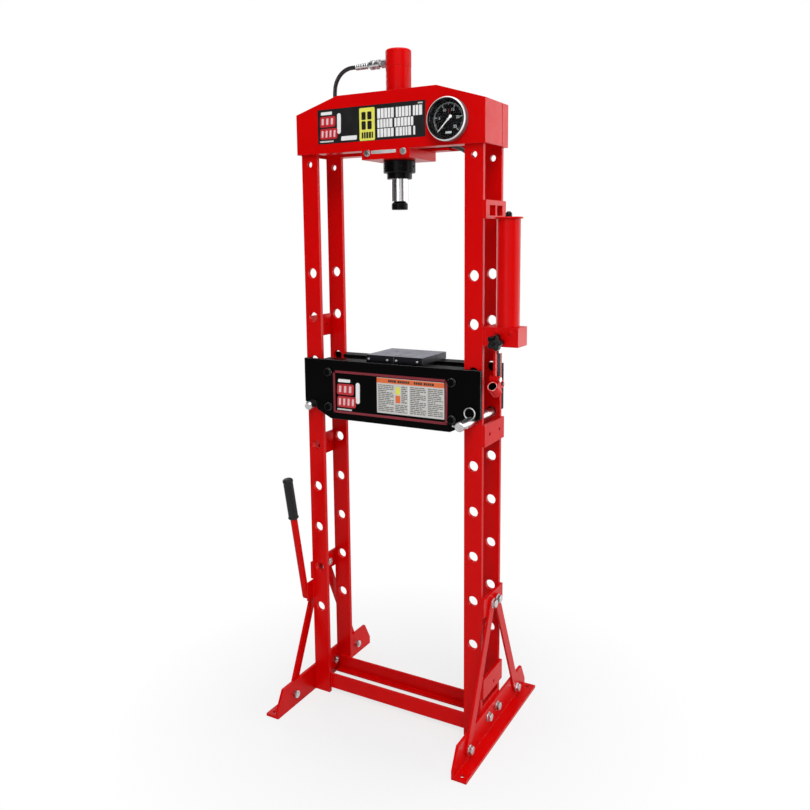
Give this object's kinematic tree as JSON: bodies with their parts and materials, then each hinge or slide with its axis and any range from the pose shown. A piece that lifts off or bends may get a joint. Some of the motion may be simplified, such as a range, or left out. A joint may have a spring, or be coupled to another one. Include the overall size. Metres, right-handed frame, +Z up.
{
  "type": "hand pump hydraulic press",
  "caption": "H-frame workshop press with a perforated upright frame, pinned height-adjustable bed, hydraulic ram, pressure gauge and side-mounted hand pump.",
  "frame": {"origin": "on the floor, at the centre of the rectangle of four floor-bolt holes in the feet", "axes": "+Z up along the uprights and the ram; +X to the right as the operator stands at the front, towards the pump; -Y towards the operator"},
  "size_m": [0.6075, 0.446, 1.64],
  "materials": {
    "frame_red": "bright red powder coat, smooth satin-gloss",
    "bed_black": "black powder coat, satin, fine orange peel",
    "black_steel": "black oxide, semi-matte, turned",
    "zinc": "bright zinc plate on turned and pressed steel",
    "bare_steel": "ground mild steel, light mill marks",
    "hard_chrome": "hard chrome, polished",
    "black_rubber": "black rubber, matte with a slight sheen",
    "black_plastic": "black moulded plastic, fine grain",
    "needle_white": "white lacquer",
    "lens_clear": "clear, polished"
  },
  "bodies": {
    "frame": {"post_front_left": "frame_red", "post_front_right": "frame_red", "post_rear_left": "frame_red", "post_rear_right": "frame_red", "foot_left": "frame_red", "foot_right": "frame_red", "cross_member_front": "frame_red", "cross_member_rear": "frame_red", "side_plates_left": "frame_red", "side_plate_right_upper": "frame_red", "side_plate_right_lower": "frame_red", "base_plate_right": "frame_red", "brace_plates": "frame_red", "foot_plates": "frame_red", "brace_front_left": "frame_red", "brace_front_right": "frame_red", "brace_rear_left": "frame_red", "brace_rear_right": "frame_red", "beam_front": "frame_red", "beam_rear": "frame_red", "ram_holder": "frame_red", "frame_bolts": "zinc", "ram_cylinder": "frame_red", "ram_cap": "frame_red", "ram_collar": "black_steel", "ram_gland": "black_steel", "return_spring": "bare_steel", "ram_coupler": "zinc", "hose": "black_rubber", "hose_ferrules": "zinc", "gauge_case": "black_steel", "gauge_bezel": "hard_chrome", "gauge_dial": "black_plastic", "gauge_lens": "lens_clear", "gauge_line": "bare_steel", "pump_bracket": "frame_red", "pump_block": "frame_red", "plunger_gland": "zinc", "reservoir": "frame_red", "reservoir_cap": "frame_red", "filler_plug": "black_plastic", "fulcrum_pin": "zinc", "handle_clip": "frame_red", "handle_tube": "frame_red", "handle_grip": "black_rubber"},
    "ram": {"ram_rod": "hard_chrome", "ram_piston": "bare_steel", "piston_seal": "black_rubber", "ram_saddle": "black_steel"},
    "gauge_hand": {"gauge_needle": "needle_white"},
    "plunger": {"pump_plunger": "hard_chrome"},
    "lever": {"lever_socket": "frame_red"},
    "knob": {"release_knob": "black_plastic"},
    "bed": {"bed_front": "bed_black", "bed_rear": "bed_black", "bed_spacers": "bed_black", "arbor_plates": "bare_steel"},
    "pin_left": {"bed_pin_left": "zinc"},
    "pin_right": {"bed_pin_right": "zinc"}
  },
  "joints": [
    {"name": "ram_slide", "type": "slide", "parent": "frame", "child": "ram", "axis": [0, 0, -1], "range_m": [-0.05, 0.135], "deforming": ["return_spring"]},
    {"name": "gauge_hinge", "type": "hinge", "parent": "frame", "child": "gauge_hand", "pos_m": [0.164, -0.066, 1.462], "axis": [0, 1, 0], "range_deg": [0, 270], "stiffness_Nm_per_rad": 0.002},
    {"name": "plunger_slide", "type": "slide", "parent": "frame", "child": "plunger", "axis": [0, 0, 1], "range_m": [-0.0028, 0.0118]},
    {"name": "lever_hinge", "type": "hinge", "parent": "frame", "child": "lever", "pos_m": [0.267, -0.042, 0.886], "axis": [1, 0, 0], "range_deg": [-8, 32]},
    {"name": "knob_turn", "type": "hinge", "parent": "frame", "child": "knob", "pos_m": [0.2815, -0.058, 0.975], "axis": [0, 1, 0], "range_deg": [0, 270]},
    {"name": "bed_lift", "type": "slide", "parent": "frame", "child": "bed", "axis": [0, 0, 1], "range_m": [0, 0.2]},
    {"name": "pin_left_slide", "type": "slide", "parent": "frame", "child": "pin_left", "axis": [0, 1, 0], "range_m": [0, 0.2]},
    {"name": "pin_right_slide", "type": "slide", "parent": "frame", "child": "pin_right", "axis": [0, -1, 0], "range_m": [0, 0.2]}
  ],
  "couplings": [
    {"joint": "lever_hinge", "follows": "plunger_slide", "rad_per_m": 45.455}
  ]
}
